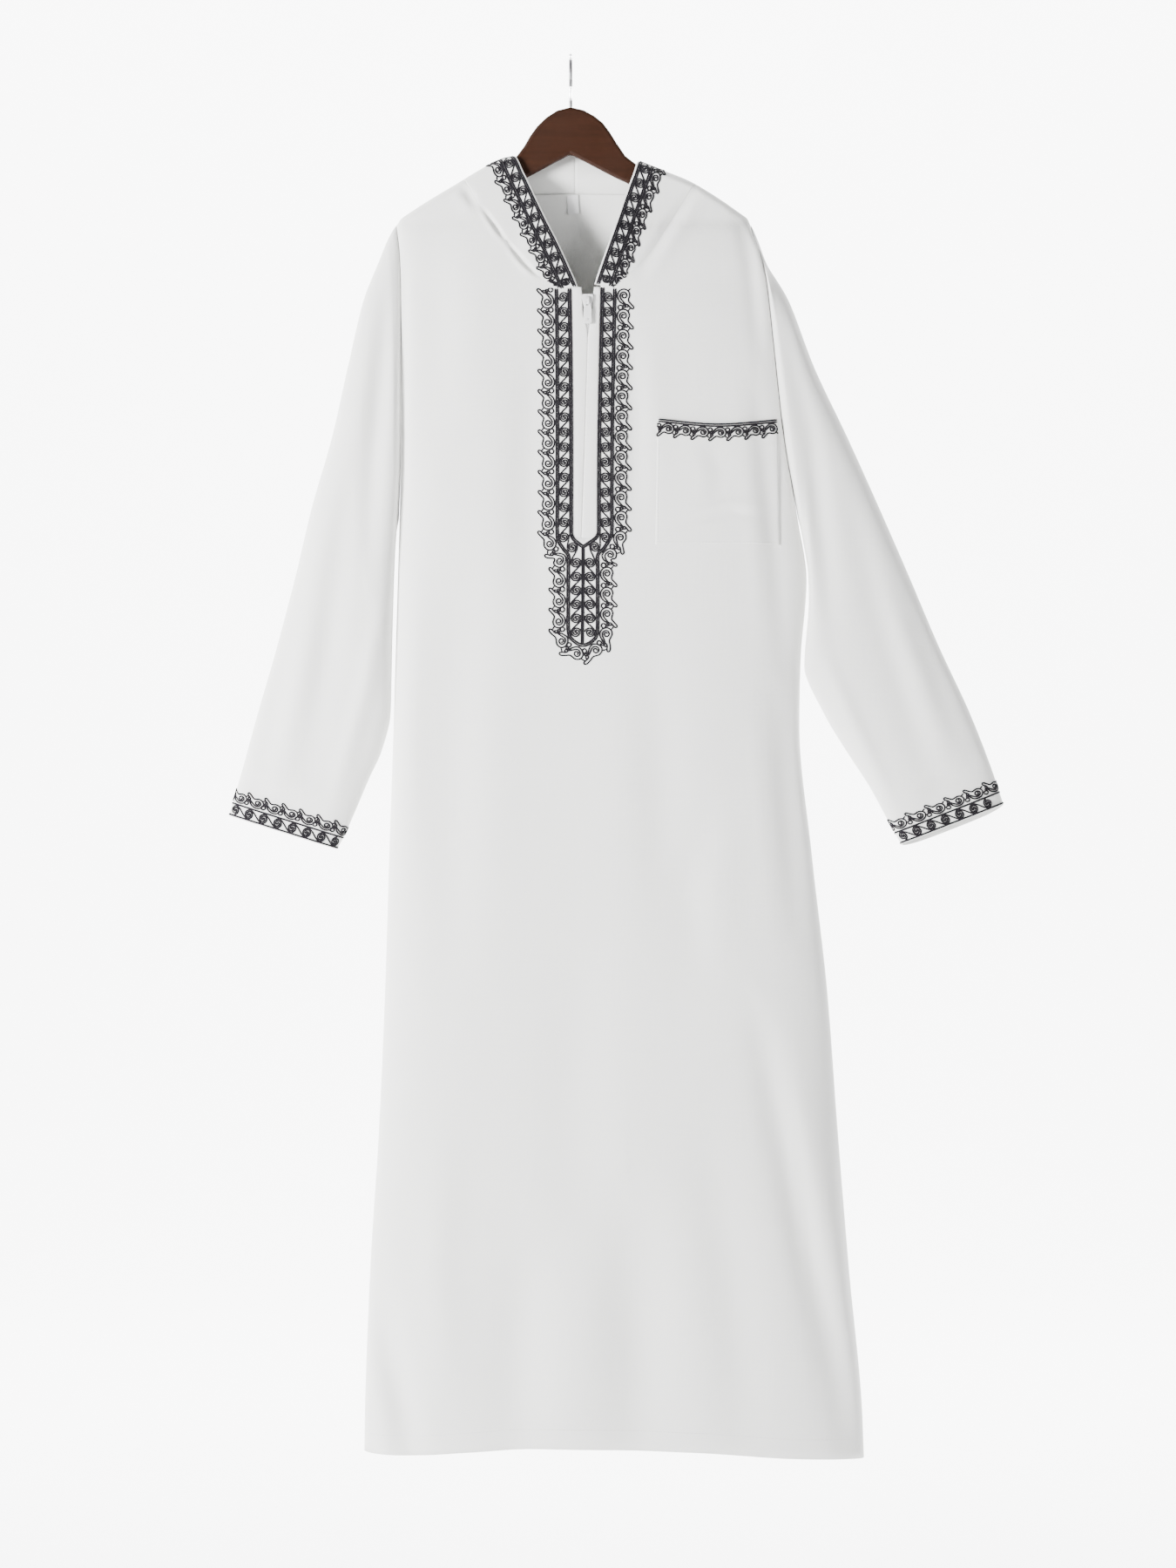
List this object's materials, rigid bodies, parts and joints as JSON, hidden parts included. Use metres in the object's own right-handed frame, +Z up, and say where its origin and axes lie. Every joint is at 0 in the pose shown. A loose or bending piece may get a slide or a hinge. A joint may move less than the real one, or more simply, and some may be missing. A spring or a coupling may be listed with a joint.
{
  "type": "hooded white thobe on a wooden hanger",
  "caption": "Full-length hooded thobe with long sleeves, zip neck, chest pocket and embroidered edges, hung on a flat wooden hanger with a steel hook.",
  "frame": {"origin": "inside top of the hanger's hook, where a rail holds the garment up", "axes": "+Z up along the hanging garment; the garment's front faces -Y; +X is the wearer's left, to the right in the picture"},
  "size_m": [0.8483, 0.0925, 1.5367],
  "materials": {
    "cloth": "matt white plain weave with a faint sheen",
    "embroidery": "near-black twisted cord, slightly glossy",
    "zip_tape": "white woven tape",
    "label": "blank white satin tape",
    "zip_metal": "white enamel",
    "wood": "dark brown satin varnish",
    "steel": "polished steel wire"
  },
  "bodies": {
    "garment": {"front_panel": "cloth", "back_panel": "cloth", "sleeve_left": "cloth", "sleeve_right": "cloth", "hood_left": "cloth", "hood_right": "cloth", "zip_flap_left": "cloth", "zip_flap_right": "cloth", "zip_tape": "zip_tape", "chest_pocket": "cloth", "neck_label": "label", "zip_slider": "zip_metal", "hanger_wood": "wood", "hanger_hook": "steel"},
    "pull_tab": {"zip_pull": "zip_metal"}
  },
  "joints": [
    {"name": "pull_hinge", "type": "hinge", "parent": "garment", "child": "pull_tab", "pos_m": [0.0186, -0.0281, -0.269], "axis": [-1, 0, 0], "range_deg": [0, 165]}
  ]
}
